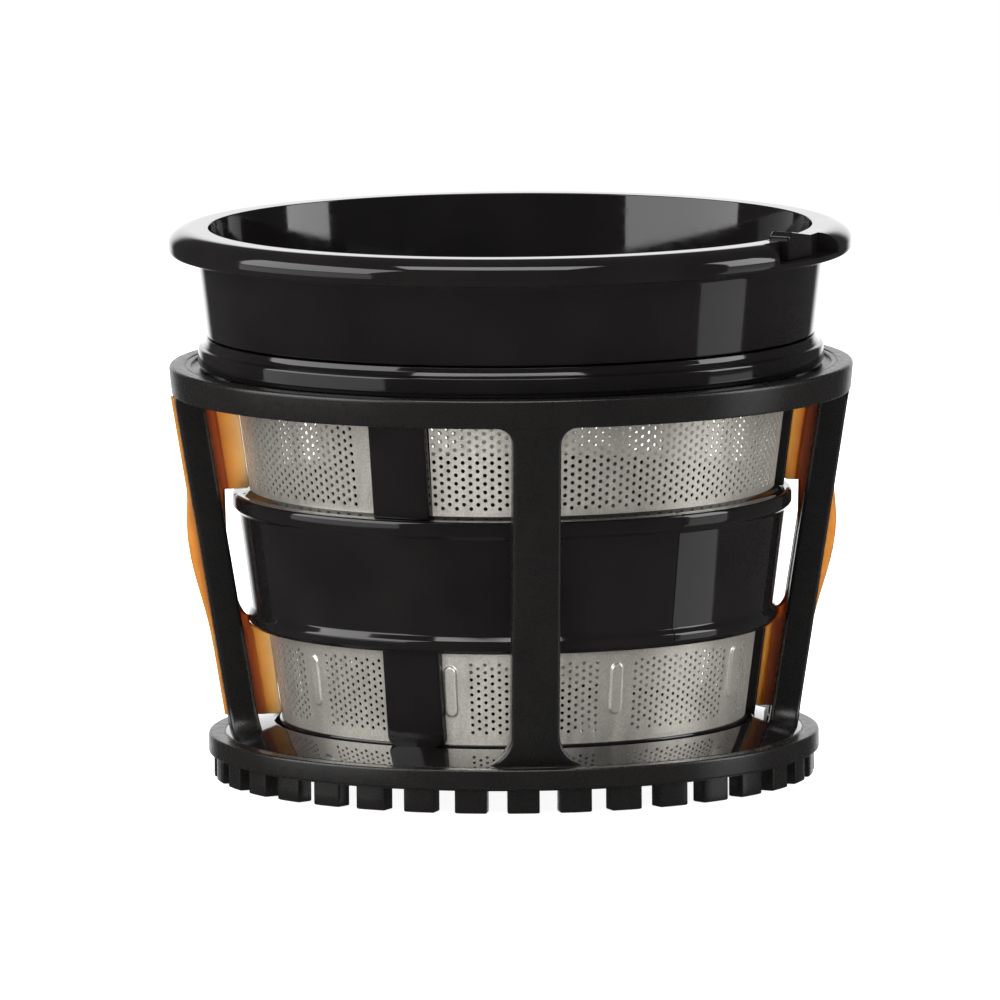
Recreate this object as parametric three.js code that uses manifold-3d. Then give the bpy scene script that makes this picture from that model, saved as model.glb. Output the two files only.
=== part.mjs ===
// Strainer basket of a cold-press juicer, seated in the turning brush cage that wipes its screens.
// Millimetres, +Z up. The axis is Z, and z = 0 is the plane of the cage's drive teeth tips.
// Angles are in degrees round the axis, from -Y (the front) towards +X (the right).
import * as THREE from "three";
import { mergeVertices } from "three/addons/utils/BufferGeometryUtils.js";
import Module from "manifold-3d";

const wasm = await Module();
wasm.setup();

// Fits
const joinGap = 0.3; // between neighbouring pieces of one moulding
const runGap = 0.7; // between the strainer's foot and the cage's bottom ring
const seatGap = 0.3; // between the glide ring and the cage's shelf
const overcut = 5; // how far a cutting block reaches past what it cuts

// Basket: the cone of steel screens and its moulded frame
const screenFootRadius = 40.05;
const screenTopRadius = 47.55;
const screenThickness = 0.6;
const lowerWindow = 15.9;
const midBand = 24.0;
const sillHeight = 2.9;
const frameDepth = 1.9; // how far the frame reaches inside the screens
const footProud = 0.45;
const ribProud = 1.7;
const ribWidth = 10.5;
const ribCount = 3;
const firstRibAngle = -24;
const hoopHeight = 3.1;
const upperBeadProud = 1.1; // of the two beads, from the mid band's wall
const upperBeadHeight = 3.8;
const lowerBeadProud = 0.9;
const lowerBeadHeight = 3.0;
const bandProud = 2.45; // of the mid band's wall from the screen cone
const finWidth = 2.4;
const finDepth = 3.0;
const floorThickness = 2.2;
const hubRadius = 11.0;
const hubBoreRadius = 8.5;
const hubAboveFloor = 6.6;
const hubBelowFloor = 3.2;
const outletInnerRadius = 20.0;
const outletOuterRadius = 30.0;
const outletHalfAngle = 30;
const outletAngle = 180;
const outletWall = 1.2;
const outletDrop = 4.3;

// Collar: the gloss-black mouth of the strainer
const neckStep = 3.05; // neck outside the top of the screen cone
const collarStep = 1.8; // collar wall outside the neck
const collarFlare = 1.6; // how much the collar's wall widens upwards
const collarWall = 1.9;
const collarHeight = 13.8; // from the groove to the underside of the rim
const grooveDepth = 0.3;
const rimOverhang = 5.0;
const rimThickness = 4.8;
const rimCrown = 0.8; // how much the rim's inner edge stands above its outer edge
const glideHeight = 5.1;
const beadProud = 1.6;
const notchStart = 51;
const notchEnd = 72.5;
const notchDepth = 3.7; // radial, from the rim's outer face
const notchSill = 1.5; // what is left of the rim under the notch
const keyAngle = 61;
const keyWidth = 8.6;
const keyProud = 1.5;
const keyRidge = 3; // from the key's middle to its ridge, on the side of the notch's start
const keyEaves = 0.6; // how far the near side stays below the ridge
const keyShoulder = 0.4; // how far the far side stands above the rim
const keyInset = 6.2; // how far the key reaches in from the rim's outer face
const keySetback = 2.3; // from the rim's outer face to the key's

// Cage: top ring, four posts, bottom ring, drive gear and two wipers
const reachTop = 6.0; // from the screen to the posts' inner faces, at the top
const reachFoot = 4.4;
const postDepth = 5.0;
const postWidth = 8.2;
const postSpan = 59.0;
const postCount = 4;
const firstPostAngle = 4.3;
const postTopFillet = 3.0;
const postFootFillet = 5.6;
const topRingHeight = 4.9;
const topRingFlare = 0.6;
const shelfOverlap = 1.2; // how far the shelf reaches under the glide ring
const recessClearance = 1.3; // between the bead and the wall of the recess it sits in
const recessDepth = 0.6;
const lipWidth = 1.0;
const edgeBevel = 0.45;
const ledgeWidth = 3.7; // of the bottom ring outside the posts
const bottomRingHeight = 3.4;
const bottomRingRise = 2.4; // the cone inside the posts rises this much to the bore
const landWidth = 2.8;
const toothCount = 36;
const firstToothAngle = 1.7;
const toothHeight = 3.9;
const toothDepth = 3.0;
const toothGap = 3.3;
const gearBack = 2.1; // thickness of the ring that joins the teeth
const gearInset = 0.9; // teeth's outer faces inside the bottom ring's edge
const gearSkirt = 0.3; // bottom ring's skirt below the gear's back
const wiperThickness = 2.0;
const wiperProud = 0.2;
const wiperBulge = 2.2;
const wiperEnd = 3.4; // slot's end from the post's end
const bulgeStart = 14.5; // heights above the bottom ring
const bulgeEnd = 39.5;
const bladeShoulder = 2.8; // rise of the lower blade's top edge from the bead to the post
const rootWidth = 1.0; // of the thick root that stands inside the post
const rootRunout = 9.5; // height over which the root dies into the post
const wiperGap = 0.35; // between a wiper's edge and what it bears on

// Heights
const gearBackZ = toothHeight;
const ringFootZ = gearBackZ + gearSkirt;
const landZ = ringFootZ + bottomRingHeight;
const skirtZ = landZ + postSpan;
const ringTopZ = skirtZ + topRingHeight;
const shelfZ = ringTopZ - recessDepth;
const boreZ = landZ + bottomRingRise;
const sillZ = boreZ + joinGap / 2;
const baseZ = sillZ - sillHeight;
const lowerWindowTopZ = sillZ + lowerWindow;
const bandTopZ = lowerWindowTopZ + midBand;
const hoopZ = skirtZ + joinGap;
const hoopTopZ = hoopZ + hoopHeight;
const glideZ = shelfZ + seatGap;
const glideTopZ = glideZ + glideHeight;
const grooveZ = glideTopZ + grooveDepth;
const rimZ = grooveZ + collarHeight;
const rimTopZ = rimZ + rimThickness;

// Radii that follow from one another
const screenRadius = (z) =>
  THREE.MathUtils.mapLinear(z, sillZ, hoopZ, screenFootRadius, screenTopRadius);
const postInnerRadius = (z) =>
  screenRadius(z) + THREE.MathUtils.mapLinear(z, landZ, skirtZ, reachFoot, reachTop);
const postOuterRadius = (z) => postInnerRadius(z) + postDepth;
const neckRadius = screenTopRadius + neckStep;
const collarFootRadius = neckRadius + collarStep;
const collarTopRadius = collarFootRadius + collarFlare;
const rimRadius = collarTopRadius + rimOverhang;
const beadRadius = collarFootRadius + beadProud;
const shelfRadius = beadRadius - shelfOverlap - edgeBevel;
const recessRadius = beadRadius + recessClearance;
const topRingRadius = postOuterRadius(skirtZ) + topRingFlare;
const bottomRingRadius = postOuterRadius(landZ) + ledgeWidth;
const footRadius = screenRadius(sillZ) + footProud;
const ringBoreRadius = footRadius + runGap;
const toothOuterRadius = bottomRingRadius - gearInset;
const toothInnerRadius = toothOuterRadius - toothDepth;
const notchRadius = rimRadius - notchDepth;
const landRadius = bottomRingRadius - landWidth;
const ringConeZ = (r) =>
  THREE.MathUtils.mapLinear(r, ringBoreRadius + edgeBevel, landRadius, boreZ - joinGap, landZ);

// Faceting: a multiple of four, so that the object's sides stay at their true radii
const roundSteps = 64;
const filletSteps = 4;

const radians = THREE.MathUtils.degToRad;
const fullReach = rimRadius + topRingRadius;

function solidOf(geometry) {
  geometry.deleteAttribute("normal");
  geometry.deleteAttribute("uv");
  const merged = mergeVertices(geometry, 1e-4);
  return new wasm.Manifold(
    new wasm.Mesh({
      numProp: 3,
      vertProperties: merged.attributes.position.array,
      triVerts: new Uint32Array(merged.index.array),
    }),
  );
}

// A ring turned round Z from a closed outline of [radius, height] points, outer side upwards.
function turned(outline) {
  const points = outline.map(([r, z]) => new THREE.Vector2(r, z));
  points.push(points[0].clone());
  return solidOf(new THREE.LatheGeometry(points, roundSteps).rotateX(Math.PI / 2));
}

// A ring between two cones, each given as a function of height.
function coneBand(innerRadius, outerRadius, zLow, zHigh) {
  return turned([
    [innerRadius(zLow), zLow],
    [outerRadius(zLow), zLow],
    [outerRadius(zHigh), zHigh],
    [innerRadius(zHigh), zHigh],
  ]);
}

function plainRing(innerRadius, outerRadius, zLow, zHigh) {
  return coneBand(() => innerRadius, () => outerRadius, zLow, zHigh);
}

// A pie slice from one angle to another, for cutting rings to sectors.
function pieSlice(fromAngle, toAngle, zLow, zHigh) {
  const steps = Math.ceil((toAngle - fromAngle) / 30);
  const shape = new THREE.Shape();
  shape.moveTo(0, 0);
  for (let i = 0; i <= steps; i++) {
    const a = radians(fromAngle + ((toAngle - fromAngle) * i) / steps);
    shape.lineTo(fullReach * Math.sin(a), -fullReach * Math.cos(a));
  }
  const slice = new THREE.ExtrudeGeometry(shape, { depth: zHigh - zLow, bevelEnabled: false });
  return solidOf(slice.translate(0, 0, zLow));
}

// A straight-sided block that lies along the radius at one angle.
function radialBlock(angle, width, rLow, rHigh, zLow, zHigh) {
  const block = new THREE.BoxGeometry(width, rHigh - rLow, zHigh - zLow);
  block.translate(0, -(rLow + rHigh) / 2, (zLow + zHigh) / 2);
  return solidOf(block.rotateZ(radians(angle)));
}

// A plate that stands in the radial plane, from an outline of (radius, height).
function radialPlate(shape, thickness, angle) {
  const plate = new THREE.ExtrudeGeometry(shape, {
    depth: thickness,
    bevelEnabled: false,
    curveSegments: filletSteps,
  });
  plate.translate(0, 0, -thickness / 2).rotateX(Math.PI / 2);
  return solidOf(plate.rotateZ(radians(angle) - Math.PI / 2));
}

// A block with an outline of (width, height), drawn on the face that looks outwards.
function facingBlock(shape, rLow, rHigh, angle) {
  const block = new THREE.ExtrudeGeometry(shape, {
    depth: rHigh - rLow,
    bevelEnabled: false,
    curveSegments: filletSteps,
  });
  block.translate(0, 0, rLow).rotateX(Math.PI / 2);
  return solidOf(block.rotateZ(radians(angle)));
}

const finishes = {
  glossBlack: { color: 0x151414, roughness: 0.12, metalness: 0 },
  satinBlack: { color: 0x1c1b1a, roughness: 0.45, metalness: 0 },
  steel: { color: 0xbeb9b1, roughness: 0.3, metalness: 1 },
  silicone: { color: 0xc8701c, roughness: 0.4, metalness: 0 },
};

function piece(name, solid, finish) {
  const { numProp, vertProperties, triVerts } = solid.getMesh();
  const geometry = new THREE.BufferGeometry();
  geometry.setAttribute("position", new THREE.BufferAttribute(vertProperties, numProp));
  geometry.setIndex(new THREE.BufferAttribute(triVerts, 1));
  geometry.computeVertexNormals();
  const mesh = new THREE.Mesh(geometry, new THREE.MeshStandardMaterial(finishes[finish]));
  mesh.name = name;
  return mesh;
}

// Strainer

const ribAngles = Array.from({ length: ribCount }, (_, i) => firstRibAngle + (i * 360) / ribCount);
const ribNames = ["front_left", "right", "rear"];
const windowNames = ["front", "rear_right", "rear_left"];

function strainerCollar() {
  const innerFootRadius = collarFootRadius - collarWall;
  const innerTopRadius = collarTopRadius - collarWall;
  const neckFootZ = hoopTopZ + joinGap;
  const body = turned([
    [screenTopRadius - frameDepth, neckFootZ],
    [neckRadius - edgeBevel, neckFootZ],
    [neckRadius, neckFootZ + edgeBevel],
    [neckRadius, grooveZ],
    [collarFootRadius, grooveZ],
    [collarTopRadius, rimZ],
    [rimRadius - 2 * edgeBevel, rimZ + edgeBevel],
    [rimRadius, rimZ + 3 * edgeBevel],
    [rimRadius, rimTopZ - rimCrown - 2 * edgeBevel],
    [rimRadius - 2 * edgeBevel, rimTopZ - rimCrown],
    [innerTopRadius + edgeBevel, rimTopZ],
    [innerTopRadius, rimTopZ - edgeBevel],
    [innerFootRadius, glideTopZ],
    [neckRadius - collarWall, glideZ],
    [screenTopRadius - frameDepth, neckFootZ + collarWall],
  ]);
  const notch = plainRing(notchRadius, fullReach, rimZ + notchSill, rimTopZ + overcut).intersect(
    pieSlice(notchStart, notchEnd, rimZ, rimTopZ + overcut),
  );
  const keyPocket = radialBlock(
    keyAngle,
    keyWidth + 2 * joinGap,
    rimRadius - keyInset - joinGap,
    rimRadius + overcut,
    rimZ + notchSill,
    rimTopZ + overcut,
  );
  return body.subtract(notch).subtract(keyPocket);
}

function locatingKey() {
  const footZ = rimZ + notchSill + joinGap;
  const shoulderZ = rimTopZ + keyShoulder;
  const ridgeZ = rimTopZ + keyProud;
  const outline = new THREE.Shape();
  outline.moveTo(-keyWidth / 2, footZ);
  outline.lineTo(keyWidth / 2, footZ);
  outline.lineTo(keyWidth / 2, shoulderZ);
  outline.lineTo(-keyRidge, ridgeZ);
  outline.lineTo(-keyWidth / 2, ridgeZ - keyEaves);
  outline.closePath();
  return facingBlock(outline, rimRadius - keyInset, rimRadius - keySetback, keyAngle);
}

function glideRing() {
  const bore = neckRadius + joinGap;
  const flangeRadius = beadRadius - edgeBevel;
  return turned([
    [bore, glideZ],
    [flangeRadius, glideZ],
    [flangeRadius, glideZ + edgeBevel],
    [beadRadius, glideZ + glideHeight / 2],
    [beadRadius, glideTopZ - 3 * edgeBevel],
    [collarFootRadius + edgeBevel, glideTopZ],
    [bore, glideTopZ],
  ]);
}

function basketHoop() {
  return coneBand(
    () => screenTopRadius - frameDepth,
    () => screenTopRadius + ribProud,
    hoopZ,
    hoopTopZ,
  );
}

function basketRib(angle, zLow, zHigh) {
  const band = coneBand(
    (z) => screenRadius(z) - frameDepth,
    (z) => screenRadius(z) + ribProud,
    zLow + joinGap,
    zHigh,
  );
  return band.intersect(radialBlock(angle, ribWidth, 0, fullReach, zLow, zHigh));
}

function screenSector(index, zLow, zHigh) {
  let sheet = coneBand(
    (z) => screenRadius(z) - screenThickness,
    screenRadius,
    zLow + joinGap,
    zHigh,
  );
  for (const angle of ribAngles) {
    const slot = radialBlock(
      angle,
      ribWidth + 2 * joinGap,
      0,
      fullReach,
      zLow - overcut,
      zHigh + overcut,
    );
    sheet = sheet.subtract(slot);
  }
  const from = ribAngles[index];
  return sheet.intersect(pieSlice(from, from + 360 / ribCount, zLow - overcut, zHigh + overcut));
}

function midBandRing() {
  const lowZ = lowerWindowTopZ + joinGap;
  const lowBeadZ = lowZ + lowerBeadHeight;
  const highBeadZ = bandTopZ - upperBeadHeight;
  const wall = (z) => screenRadius(z) + bandProud;
  return turned([
    [screenRadius(lowZ) - frameDepth, lowZ],
    [screenRadius(lowZ) + edgeBevel, lowZ],
    [wall(lowZ), lowZ + edgeBevel],
    [wall(lowZ) + lowerBeadProud, lowZ + lowerBeadHeight / 2],
    [wall(lowBeadZ) + edgeBevel, lowBeadZ],
    [wall(lowBeadZ), lowBeadZ + edgeBevel],
    [wall(highBeadZ), highBeadZ - edgeBevel],
    [wall(highBeadZ) + upperBeadProud, highBeadZ + edgeBevel],
    [wall(highBeadZ) + upperBeadProud, bandTopZ - upperBeadHeight / 2],
    [screenRadius(bandTopZ) + edgeBevel, bandTopZ],
    [screenRadius(bandTopZ) - frameDepth, bandTopZ],
  ]);
}

function baseRing() {
  return turned([
    [screenFootRadius - frameDepth, baseZ],
    [footRadius - edgeBevel, baseZ],
    [footRadius, baseZ + edgeBevel],
    [footRadius, sillZ - edgeBevel],
    [footRadius - edgeBevel, sillZ],
    [screenFootRadius - frameDepth, sillZ],
  ]);
}

function outletOpening(grow, zLow, zHigh) {
  const spread = THREE.MathUtils.radToDeg(grow / outletInnerRadius);
  return plainRing(outletInnerRadius - grow, outletOuterRadius + grow, zLow, zHigh).intersect(
    pieSlice(
      outletAngle - outletHalfAngle - spread,
      outletAngle + outletHalfAngle + spread,
      zLow - overcut,
      zHigh + overcut,
    ),
  );
}

function strainerFloor() {
  const disc = plainRing(
    hubRadius + joinGap,
    screenFootRadius - frameDepth - joinGap,
    baseZ,
    baseZ + floorThickness,
  );
  return disc.subtract(outletOpening(0, baseZ - overcut, baseZ + floorThickness + overcut));
}

function pulpOutlet() {
  const topZ = baseZ - joinGap;
  const bottomZ = topZ - outletDrop;
  return outletOpening(outletWall, bottomZ, topZ).subtract(
    outletOpening(0, bottomZ - overcut, topZ + overcut),
  );
}

function hubSleeve() {
  return plainRing(
    hubBoreRadius,
    hubRadius,
    baseZ - hubBelowFloor,
    baseZ + floorThickness + hubAboveFloor,
  );
}

function pressFin(angle) {
  const lowZ = baseZ + floorThickness + joinGap;
  const highZ = skirtZ;
  const back = (z) => screenRadius(z) - frameDepth - joinGap;
  const outline = new THREE.Shape();
  outline.moveTo(back(lowZ) - finDepth, lowZ);
  outline.lineTo(back(sillZ) - joinGap, lowZ);
  outline.lineTo(back(highZ) - joinGap, highZ);
  outline.lineTo(back(highZ) - finDepth / 2, highZ);
  outline.lineTo(back(bandTopZ) - finDepth, bandTopZ);
  outline.closePath();
  return radialPlate(outline, finWidth, angle);
}

// Cage

const postAngles = Array.from(
  { length: postCount },
  (_, i) => firstPostAngle + (i * 360) / postCount,
);

function cageTopRing() {
  return turned([
    [shelfRadius, skirtZ],
    [postOuterRadius(skirtZ), skirtZ],
    [topRingRadius, ringTopZ - edgeBevel],
    [topRingRadius - edgeBevel, ringTopZ],
    [recessRadius + lipWidth, ringTopZ],
    [recessRadius, ringTopZ - edgeBevel],
    [recessRadius, shelfZ],
    [shelfRadius, shelfZ],
  ]);
}

// The cage's wall where the posts stand: its foot follows the cone of the bottom ring.
function postBand() {
  const innerFoot = postInnerRadius(landZ);
  const outerFoot = postOuterRadius(landZ);
  return turned([
    [innerFoot, ringConeZ(innerFoot) + joinGap],
    [outerFoot, ringConeZ(outerFoot) + joinGap],
    [postOuterRadius(skirtZ), skirtZ],
    [postInnerRadius(skirtZ), skirtZ],
  ]);
}

function postOutline() {
  const half = postWidth / 2;
  const low = landZ;
  const high = skirtZ - joinGap;
  const quarter = Math.PI / 2;
  const outline = new THREE.Shape();
  outline.moveTo(-half - postFootFillet, low);
  outline.lineTo(half + postFootFillet, low);
  outline.absarc(half + postFootFillet, low + postFootFillet, postFootFillet, -quarter, -2 * quarter, true);
  outline.absarc(half + postTopFillet, high - postTopFillet, postTopFillet, 2 * quarter, quarter, true);
  outline.lineTo(-half - postTopFillet, high);
  outline.absarc(-half - postTopFillet, high - postTopFillet, postTopFillet, quarter, 0, true);
  outline.absarc(-half - postFootFillet, low + postFootFillet, postFootFillet, 0, -quarter, true);
  return outline;
}

function cagePost(angle, slotted) {
  const block = facingBlock(postOutline(), screenFootRadius / 2, fullReach, angle);
  const post = postBand().intersect(block);
  if (!slotted) return post;
  const slot = radialBlock(
    angle,
    wiperThickness + 2 * joinGap,
    0,
    fullReach,
    landZ + wiperEnd - joinGap,
    skirtZ - wiperEnd + joinGap,
  );
  return post.subtract(slot);
}

function cageBottomRing() {
  const grooveTopZ = gearBackZ + gearBack + joinGap;
  return turned([
    [ringBoreRadius, ringFootZ],
    [toothInnerRadius - joinGap, ringFootZ],
    [toothInnerRadius - joinGap, grooveTopZ],
    [toothOuterRadius + joinGap, grooveTopZ],
    [toothOuterRadius + joinGap, ringFootZ],
    [bottomRingRadius - edgeBevel / 2, ringFootZ],
    [bottomRingRadius, ringFootZ + edgeBevel],
    [bottomRingRadius, landZ - edgeBevel],
    [bottomRingRadius - edgeBevel, landZ],
    [landRadius, landZ],
    [ringBoreRadius + edgeBevel, boreZ - joinGap],
    [ringBoreRadius, boreZ - joinGap - edgeBevel],
  ]);
}

function driveGear() {
  let gear = plainRing(toothInnerRadius, toothOuterRadius, 0, gearBackZ + gearBack);
  for (let i = 0; i < toothCount; i++) {
    const angle = firstToothAngle + ((i + 0.5) * 360) / toothCount;
    const gap = radialBlock(
      angle,
      toothGap,
      toothInnerRadius - overcut,
      toothOuterRadius + overcut,
      -overcut,
      gearBackZ,
    );
    gear = gear.subtract(gap);
  }
  return gear;
}

// A soft blade through the slot of a side post. Its inner edge stops short of what it bears on.
function wiper(angle, bearsOn) {
  const lowZ = landZ + wiperEnd;
  const highZ = skirtZ - wiperEnd;
  const outer = (z) => postOuterRadius(z) + wiperProud;
  const inner = (z) => screenRadius(z) + bearsOn + wiperGap;
  const bandLowZ = lowerWindowTopZ;
  const beadTopZ = bandLowZ + joinGap + lowerBeadHeight;
  const beadClearRadius = screenRadius(beadTopZ) + bandProud + lowerBeadProud + wiperGap;
  const lowCutZ = beadTopZ + bladeShoulder;
  const highCutZ = bandTopZ + joinGap + wiperGap;
  const bulgeZ = (bulgeStart + bulgeEnd) / 2;
  const outline = new THREE.Shape();
  outline.moveTo(inner(lowZ), lowZ);
  outline.lineTo(outer(lowZ), lowZ);
  outline.lineTo(outer(landZ + bulgeStart), landZ + bulgeStart);
  outline.bezierCurveTo(
    outer(landZ + bulgeStart) + wiperBulge / 2,
    landZ + (bulgeStart + bulgeZ) / 2,
    outer(landZ + bulgeZ) + 2 * wiperBulge,
    landZ + (bulgeZ + bulgeEnd) / 2,
    outer(landZ + bulgeEnd),
    landZ + bulgeEnd,
  );
  outline.lineTo(outer(highZ), highZ);
  outline.lineTo(inner(highZ), highZ);
  outline.lineTo(inner(highCutZ), highCutZ);
  outline.lineTo(postInnerRadius(highCutZ) - rootWidth, highCutZ);
  outline.lineTo(postInnerRadius(highCutZ - rootRunout), highCutZ - rootRunout);
  outline.lineTo(postInnerRadius(lowCutZ), lowCutZ);
  outline.lineTo(beadClearRadius, beadTopZ - edgeBevel);
  outline.lineTo(beadClearRadius, bandLowZ);
  outline.lineTo(inner(bandLowZ - joinGap), bandLowZ - joinGap);
  outline.closePath();
  return radialPlate(outline, wiperThickness, angle);
}

function strainerGroup() {
  const group = new THREE.Group();
  group.add(piece("strainer_collar", strainerCollar(), "glossBlack"));
  group.add(piece("locating_key", locatingKey(), "glossBlack"));
  group.add(piece("basket_hoop", basketHoop(), "glossBlack"));
  group.add(piece("mid_band", midBandRing(), "glossBlack"));
  group.add(piece("base_ring", baseRing(), "glossBlack"));
  group.add(piece("strainer_floor", strainerFloor(), "glossBlack"));
  group.add(piece("pulp_outlet", pulpOutlet(), "glossBlack"));
  group.add(piece("hub_sleeve", hubSleeve(), "glossBlack"));
  ribAngles.forEach((angle, i) => {
    const lower = basketRib(angle, sillZ, lowerWindowTopZ);
    const upper = basketRib(angle, bandTopZ, skirtZ);
    group.add(piece("lower_rib_" + ribNames[i], lower, "glossBlack"));
    group.add(piece("upper_rib_" + ribNames[i], upper, "glossBlack"));
    group.add(piece("press_fin_" + ribNames[i], pressFin(angle), "glossBlack"));
  });
  windowNames.forEach((window, i) => {
    const lower = screenSector(i, sillZ, lowerWindowTopZ);
    const upper = screenSector(i, bandTopZ, skirtZ);
    group.add(piece("lower_screen_" + window, lower, "steel"));
    group.add(piece("upper_screen_" + window, upper, "steel"));
  });
  return group;
}

function cageGroup() {
  const group = new THREE.Group();
  group.add(piece("cage_top_ring", cageTopRing(), "satinBlack"));
  group.add(piece("cage_bottom_ring", cageBottomRing(), "satinBlack"));
  group.add(piece("drive_gear", driveGear(), "satinBlack"));
  ["front", "right", "rear", "left"].forEach((side, i) => {
    const slotted = i % 2 === 1;
    group.add(piece("cage_post_" + side, cagePost(postAngles[i], slotted), "satinBlack"));
  });
  const [, right, , left] = postAngles;
  group.add(piece("wiper_right", wiper(right, ribProud), "silicone"));
  group.add(piece("wiper_left", wiper(left, 0), "silicone"));
  return group;
}

const juicerStrainer = new THREE.Group();
juicerStrainer.add(cageGroup());
juicerStrainer.add(piece("glide_ring", glideRing(), "glossBlack"));
juicerStrainer.add(strainerGroup());

export default juicerStrainer;
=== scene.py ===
import bmesh
import bpy
import math
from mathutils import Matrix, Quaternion, Vector


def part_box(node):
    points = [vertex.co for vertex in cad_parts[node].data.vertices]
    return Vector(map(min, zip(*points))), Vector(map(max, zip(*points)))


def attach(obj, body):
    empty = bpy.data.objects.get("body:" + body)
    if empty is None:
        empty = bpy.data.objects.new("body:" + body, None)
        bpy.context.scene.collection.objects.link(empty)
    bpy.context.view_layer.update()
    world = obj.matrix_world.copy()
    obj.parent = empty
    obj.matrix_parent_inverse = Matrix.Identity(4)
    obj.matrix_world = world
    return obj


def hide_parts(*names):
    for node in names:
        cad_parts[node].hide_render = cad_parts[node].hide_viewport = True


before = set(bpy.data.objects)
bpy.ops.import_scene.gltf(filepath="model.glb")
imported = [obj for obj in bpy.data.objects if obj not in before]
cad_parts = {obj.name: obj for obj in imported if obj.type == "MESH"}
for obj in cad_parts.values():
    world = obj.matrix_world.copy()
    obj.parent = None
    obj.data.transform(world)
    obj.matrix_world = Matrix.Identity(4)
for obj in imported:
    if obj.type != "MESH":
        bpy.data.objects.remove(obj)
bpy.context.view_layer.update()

# Strainer basket of a cold-press juicer in its brush cage.
# Shapes are worked out in millimetres and turned into metres when the mesh is made.
# Angles are in degrees round the axis, from the front (-Y) towards the right (+X).
mm = 0.001


def topOf(node):
    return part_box(node)[1].z / mm


def footOf(node):
    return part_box(node)[0].z / mm


def reachOf(node):
    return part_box(node)[1].x / mm


def joined(words):
    return words.title().replace("_", "")


def mix(a, b, t):
    return a + (b - a) * t


def remap(value, fromLow, fromHigh, low, high):
    return mix(low, high, (value - fromLow) / (fromHigh - fromLow))


def ease(t):
    t = min(max(t, 0), 1)
    return t * t * (3 - 2 * t)


def polar(radius, height, angle, side=0):  # side is an offset along the tangent
    turn = math.radians(angle) + math.asin(side / radius)
    return (radius * math.sin(turn), -radius * math.cos(turn), height)


# Shared sizes of the basket: its cone carries the screens, bands and ribs
basket = {
    "ribProud": 1.7,
    "ribWidth": 10.5,
    "ribCorner": 0.55,
    "ribFootRound": 1.8,
    "ribAngles": (-24, 96, 216),
    "ribSpacing": 120,
    "frameDepth": 1.9,  # how far the frame reaches inside the screens
    "footProud": 0.45,
    "sheet": 0.2,
}
ribNames = ("front_left", "right", "rear")
hoopFootZ = footOf("basket_hoop")
sillZ = topOf("base_ring")
lowerWindowTopZ = topOf("lower_screen_front")
bandTopZ = topOf("mid_band")
screenTopRadius = reachOf("basket_hoop") - basket["ribProud"]
screenFootRadius = reachOf("base_ring") - basket["footProud"]


def screenRadius(z):
    return remap(z, sillZ, hoopFootZ, screenFootRadius, screenTopRadius)


# Shared sizes of the cage: four posts between two rings
cage = {
    "reachTop": 6.0,  # from the screens to the posts' inner faces
    "reachFoot": 4.4,
    "postDepth": 5.0,
    "postWidth": 8.2,
    "firstPost": 4.3,  # degrees
    "wiperRise": 3.4,  # from the bottom ring's land to the foot of the wipers
}
landZ = footOf("wiper_left") - cage["wiperRise"]
skirtZ = footOf("cage_top_ring")


def postInner(z):
    return screenRadius(z) + remap(z, landZ, skirtZ, cage["reachFoot"], cage["reachTop"])


def postOuter(z):
    return postInner(z) + cage["postDepth"]


# Mesh tools


def filleted(corners, steps=6):
    # closed outline of (radius, height, fillet): each corner becomes an arc
    outline = []
    count = len(corners)
    for i, (x, y, fillet) in enumerate(corners):
        here = Vector((x, y))
        back = Vector(corners[i - 1][:2]) - here
        ahead = Vector(corners[(i + 1) % count][:2]) - here
        angle = back.angle(ahead)
        reach = min(fillet / math.tan(angle / 2), 0.49 * back.length, 0.49 * ahead.length) if fillet else 0
        if reach < 1e-4:
            outline.append((x, y))
            continue
        start, end = here + back.normalized() * reach, here + ahead.normalized() * reach
        for k in range(steps + 1):
            t = k / steps
            point = start * (1 - t) ** 2 + here * 2 * t * (1 - t) + end * t ** 2
            outline.append((point.x, point.y))
    return outline


def gridFaces(rows, perRow, closeRows):
    # quads between loops of equal length, with the last loop joined to the first or both ends capped
    faces = []
    for i in range(rows if closeRows else rows - 1):
        for j in range(perRow):
            a, b = i * perRow, ((i + 1) % rows) * perRow
            k = (j + 1) % perRow
            faces.append((a + j, b + j, b + k, a + k))
    if not closeRows:
        faces.append(tuple(range(perRow)))
        faces.append(tuple((rows - 1) * perRow + j for j in reversed(range(perRow))))
    return faces


def turned(outline, segments=256):
    points = []
    for i in range(segments):
        angle = 360 * i / segments
        points += [polar(r, z, angle) for r, z in outline]
    return points, gridFaces(segments, len(outline), True)


def sectionLoop(halfWidth, inner, outer, corner, z, angle, across=6):
    # rounded rectangle in plan, bent to the round of the object
    corner = min(corner, halfWidth * 0.98, (outer - inner) * 0.49)
    loop = []
    for centreW, centreR, start in (
        (halfWidth - corner, outer - corner, 0),
        (-halfWidth + corner, outer - corner, 90),
        (-halfWidth + corner, inner + corner, 180),
        (halfWidth - corner, inner + corner, 270),
    ):
        for k in range(5):
            turn = math.radians(start + 22.5 * k)
            loop.append((centreW + corner * math.cos(turn), centreR + corner * math.sin(turn)))
        if start in (0, 180):  # points along the wide faces, so that they follow the curve
            target = -centreW
            radius = centreR + corner * (1 if start == 0 else -1)
            loop += [(mix(centreW, target, k / across), radius) for k in range(1, across)]
    return [polar(r, z, angle, w) for w, r in loop]


def lofted(loops):
    points = [p for loop in loops for p in loop]
    return points, gridFaces(len(loops), len(loops[0]), False)


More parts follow.
